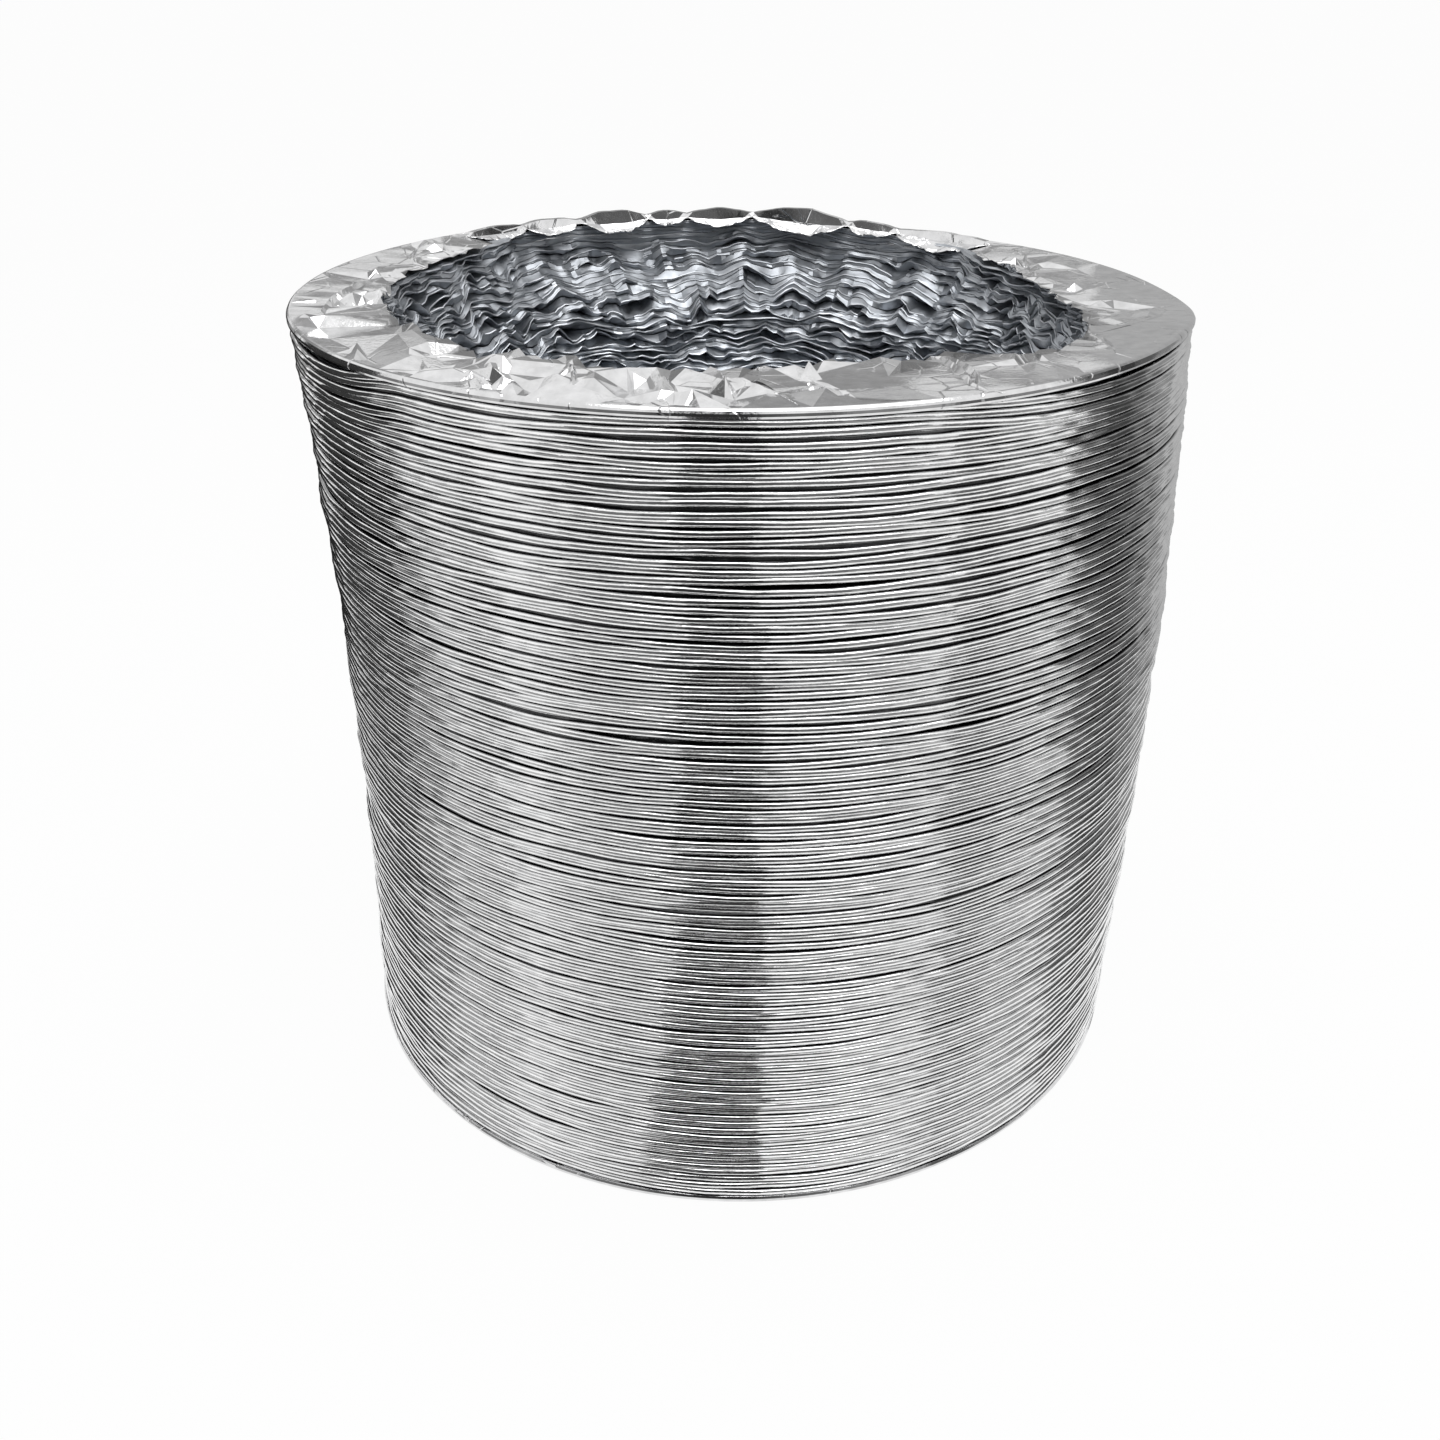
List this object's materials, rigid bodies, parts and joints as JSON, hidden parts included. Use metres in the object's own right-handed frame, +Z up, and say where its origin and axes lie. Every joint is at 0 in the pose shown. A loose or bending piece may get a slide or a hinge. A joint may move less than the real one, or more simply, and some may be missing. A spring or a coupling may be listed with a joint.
{
  "type": "flexible air duct",
  "caption": "Round flexible air duct of folded foil over a wire helix, closed up into a short stack of tight ribs; it pulls out along its axis and bends.",
  "frame": {"origin": "centre of the lower end, on the plane that the duct stands on", "axes": "+Z up along the duct's axis; bending opens the +X side and keeps the -X side shut"},
  "size_m": [0.2046, 0.2046, 0.1871],
  "materials": {
    "outer_foil": "bright crumpled foil",
    "end_foil": "bright creased foil",
    "pleat_foil": "creased foil",
    "spring_wire": "drawn wire"
  },
  "bodies": {
    "section_01": {"bottom_flange": "end_foil", "foil_section_01": "outer_foil", "wire_coil_01": "spring_wire"},
    "pleat_01": {"foil_pleat_01": "pleat_foil"},
    "section_02": {"foil_section_02": "outer_foil", "wire_coil_02": "spring_wire"},
    "pleat_02": {"foil_pleat_02": "pleat_foil"},
    "section_03": {"foil_section_03": "outer_foil", "wire_coil_03": "spring_wire"},
    "pleat_03": {"foil_pleat_03": "pleat_foil"},
    "section_04": {"foil_section_04": "outer_foil", "wire_coil_04": "spring_wire"},
    "pleat_04": {"foil_pleat_04": "pleat_foil"},
    "section_05": {"foil_section_05": "outer_foil", "wire_coil_05": "spring_wire"},
    "pleat_05": {"foil_pleat_05": "pleat_foil"},
    "section_06": {"foil_section_06": "outer_foil", "wire_coil_06": "spring_wire"},
    "pleat_06": {"foil_pleat_06": "pleat_foil"},
    "section_07": {"foil_section_07": "outer_foil", "wire_coil_07": "spring_wire"},
    "pleat_07": {"foil_pleat_07": "pleat_foil"},
    "section_08": {"foil_section_08": "outer_foil", "wire_coil_08": "spring_wire"},
    "pleat_08": {"foil_pleat_08": "pleat_foil"},
    "section_09": {"foil_section_09": "outer_foil", "wire_coil_09": "spring_wire"},
    "pleat_09": {"foil_pleat_09": "pleat_foil"},
    "section_10": {"foil_section_10": "outer_foil", "wire_coil_10": "spring_wire"},
    "pleat_10": {"foil_pleat_10": "pleat_foil"},
    "section_11": {"foil_section_11": "outer_foil", "wire_coil_11": "spring_wire"},
    "pleat_11": {"foil_pleat_11": "pleat_foil"},
    "section_12": {"foil_section_12": "outer_foil", "wire_coil_12": "spring_wire"},
    "pleat_12": {"foil_pleat_12": "pleat_foil"},
    "section_13": {"foil_section_13": "outer_foil", "wire_coil_13": "spring_wire"},
    "pleat_13": {"foil_pleat_13": "pleat_foil"},
    "section_14": {"foil_section_14": "outer_foil", "wire_coil_14": "spring_wire"},
    "pleat_14": {"foil_pleat_14": "pleat_foil"},
    "section_15": {"foil_section_15": "outer_foil", "wire_coil_15": "spring_wire"},
    "pleat_15": {"foil_pleat_15": "pleat_foil"},
    "section_16": {"foil_section_16": "outer_foil", "wire_coil_16": "spring_wire"},
    "pleat_16": {"foil_pleat_16": "pleat_foil"},
    "section_17": {"foil_section_17": "outer_foil", "wire_coil_17": "spring_wire", "top_flange": "end_foil"}
  },
  "joints": [
    {"name": "pull_01", "type": "slide", "parent": "section_01", "child": "pleat_01", "axis": [0, 0, 1], "range_m": [0, 0.277], "deforming": ["foil_pleat_01"]},
    {"name": "bend_01", "type": "hinge", "parent": "pleat_01", "child": "section_02", "pos_m": [-0.102, 0, 0.0112], "axis": [0, -1, 0], "range_deg": [0, 11]},
    {"name": "pull_02", "type": "slide", "parent": "section_02", "child": "pleat_02", "axis": [0, 0, 1], "range_m": [0, 0.277], "deforming": ["foil_pleat_02"]},
    {"name": "bend_02", "type": "hinge", "parent": "pleat_02", "child": "section_03", "pos_m": [-0.102, 0, 0.02218], "axis": [0, -1, 0], "range_deg": [0, 11]},
    {"name": "pull_03", "type": "slide", "parent": "section_03", "child": "pleat_03", "axis": [0, 0, 1], "range_m": [0, 0.277], "deforming": ["foil_pleat_03"]},
    {"name": "bend_03", "type": "hinge", "parent": "pleat_03", "child": "section_04", "pos_m": [-0.102, 0, 0.03317], "axis": [0, -1, 0], "range_deg": [0, 11]},
    {"name": "pull_04", "type": "slide", "parent": "section_04", "child": "pleat_04", "axis": [0, 0, 1], "range_m": [0, 0.277], "deforming": ["foil_pleat_04"]},
    {"name": "bend_04", "type": "hinge", "parent": "pleat_04", "child": "section_05", "pos_m": [-0.102, 0, 0.04414], "axis": [0, -1, 0], "range_deg": [0, 11]},
    {"name": "pull_05", "type": "slide", "parent": "section_05", "child": "pleat_05", "axis": [0, 0, 1], "range_m": [0, 0.277], "deforming": ["foil_pleat_05"]},
    {"name": "bend_05", "type": "hinge", "parent": "pleat_05", "child": "section_06", "pos_m": [-0.102, 0, 0.05513], "axis": [0, -1, 0], "range_deg": [0, 11]},
    {"name": "pull_06", "type": "slide", "parent": "section_06", "child": "pleat_06", "axis": [0, 0, 1], "range_m": [0, 0.277], "deforming": ["foil_pleat_06"]},
    {"name": "bend_06", "type": "hinge", "parent": "pleat_06", "child": "section_07", "pos_m": [-0.102, 0, 0.0661], "axis": [0, -1, 0], "range_deg": [0, 11]},
    {"name": "pull_07", "type": "slide", "parent": "section_07", "child": "pleat_07", "axis": [0, 0, 1], "range_m": [0, 0.277], "deforming": ["foil_pleat_07"]},
    {"name": "bend_07", "type": "hinge", "parent": "pleat_07", "child": "section_08", "pos_m": [-0.102, 0, 0.07709], "axis": [0, -1, 0], "range_deg": [0, 11]},
    {"name": "pull_08", "type": "slide", "parent": "section_08", "child": "pleat_08", "axis": [0, 0, 1], "range_m": [0, 0.277], "deforming": ["foil_pleat_08"]},
    {"name": "bend_08", "type": "hinge", "parent": "pleat_08", "child": "section_09", "pos_m": [-0.102, 0, 0.08807], "axis": [0, -1, 0], "range_deg": [0, 11]},
    {"name": "pull_09", "type": "slide", "parent": "section_09", "child": "pleat_09", "axis": [0, 0, 1], "range_m": [0, 0.277], "deforming": ["foil_pleat_09"]},
    {"name": "bend_09", "type": "hinge", "parent": "pleat_09", "child": "section_10", "pos_m": [-0.102, 0, 0.09904], "axis": [0, -1, 0], "range_deg": [0, 11]},
    {"name": "pull_10", "type": "slide", "parent": "section_10", "child": "pleat_10", "axis": [0, 0, 1], "range_m": [0, 0.277], "deforming": ["foil_pleat_10"]},
    {"name": "bend_10", "type": "hinge", "parent": "pleat_10", "child": "section_11", "pos_m": [-0.102, 0, 0.11002], "axis": [0, -1, 0], "range_deg": [0, 11]},
    {"name": "pull_11", "type": "slide", "parent": "section_11", "child": "pleat_11", "axis": [0, 0, 1], "range_m": [0, 0.277], "deforming": ["foil_pleat_11"]},
    {"name": "bend_11", "type": "hinge", "parent": "pleat_11", "child": "section_12", "pos_m": [-0.102, 0, 0.12101], "axis": [0, -1, 0], "range_deg": [0, 11]},
    {"name": "pull_12", "type": "slide", "parent": "section_12", "child": "pleat_12", "axis": [0, 0, 1], "range_m": [0, 0.277], "deforming": ["foil_pleat_12"]},
    {"name": "bend_12", "type": "hinge", "parent": "pleat_12", "child": "section_13", "pos_m": [-0.102, 0, 0.13198], "axis": [0, -1, 0], "range_deg": [0, 11]},
    {"name": "pull_13", "type": "slide", "parent": "section_13", "child": "pleat_13", "axis": [0, 0, 1], "range_m": [0, 0.277], "deforming": ["foil_pleat_13"]},
    {"name": "bend_13", "type": "hinge", "parent": "pleat_13", "child": "section_14", "pos_m": [-0.102, 0, 0.14297], "axis": [0, -1, 0], "range_deg": [0, 11]},
    {"name": "pull_14", "type": "slide", "parent": "section_14", "child": "pleat_14", "axis": [0, 0, 1], "range_m": [0, 0.277], "deforming": ["foil_pleat_14"]},
    {"name": "bend_14", "type": "hinge", "parent": "pleat_14", "child": "section_15", "pos_m": [-0.102, 0, 0.15394], "axis": [0, -1, 0], "range_deg": [0, 11]},
    {"name": "pull_15", "type": "slide", "parent": "section_15", "child": "pleat_15", "axis": [0, 0, 1], "range_m": [0, 0.277], "deforming": ["foil_pleat_15"]},
    {"name": "bend_15", "type": "hinge", "parent": "pleat_15", "child": "section_16", "pos_m": [-0.102, 0, 0.16492], "axis": [0, -1, 0], "range_deg": [0, 11]},
    {"name": "pull_16", "type": "slide", "parent": "section_16", "child": "pleat_16", "axis": [0, 0, 1], "range_m": [0, 0.277], "deforming": ["foil_pleat_16"]},
    {"name": "bend_16", "type": "hinge", "parent": "pleat_16", "child": "section_17", "pos_m": [-0.102, 0, 0.17591], "axis": [0, -1, 0], "range_deg": [0, 11]}
  ],
  "couplings": [
    {"joint": "pull_02", "follows": "pull_01", "ratio": 1},
    {"joint": "bend_02", "follows": "bend_01", "ratio": 1},
    {"joint": "pull_03", "follows": "pull_01", "ratio": 1},
    {"joint": "bend_03", "follows": "bend_01", "ratio": 1},
    {"joint": "pull_04", "follows": "pull_01", "ratio": 1},
    {"joint": "bend_04", "follows": "bend_01", "ratio": 1},
    {"joint": "pull_05", "follows": "pull_01", "ratio": 1},
    {"joint": "bend_05", "follows": "bend_01", "ratio": 1},
    {"joint": "pull_06", "follows": "pull_01", "ratio": 1},
    {"joint": "bend_06", "follows": "bend_01", "ratio": 1},
    {"joint": "pull_07", "follows": "pull_01", "ratio": 1},
    {"joint": "bend_07", "follows": "bend_01", "ratio": 1},
    {"joint": "pull_08", "follows": "pull_01", "ratio": 1},
    {"joint": "bend_08", "follows": "bend_01", "ratio": 1},
    {"joint": "pull_09", "follows": "pull_01", "ratio": 1},
    {"joint": "bend_09", "follows": "bend_01", "ratio": 1},
    {"joint": "pull_10", "follows": "pull_01", "ratio": 1},
    {"joint": "bend_10", "follows": "bend_01", "ratio": 1},
    {"joint": "pull_11", "follows": "pull_01", "ratio": 1},
    {"joint": "bend_11", "follows": "bend_01", "ratio": 1},
    {"joint": "pull_12", "follows": "pull_01", "ratio": 1},
    {"joint": "bend_12", "follows": "bend_01", "ratio": 1},
    {"joint": "pull_13", "follows": "pull_01", "ratio": 1},
    {"joint": "bend_13", "follows": "bend_01", "ratio": 1},
    {"joint": "pull_14", "follows": "pull_01", "ratio": 1},
    {"joint": "bend_14", "follows": "bend_01", "ratio": 1},
    {"joint": "pull_15", "follows": "pull_01", "ratio": 1},
    {"joint": "bend_15", "follows": "bend_01", "ratio": 1},
    {"joint": "pull_16", "follows": "pull_01", "ratio": 1},
    {"joint": "bend_16", "follows": "bend_01", "ratio": 1}
  ]
}
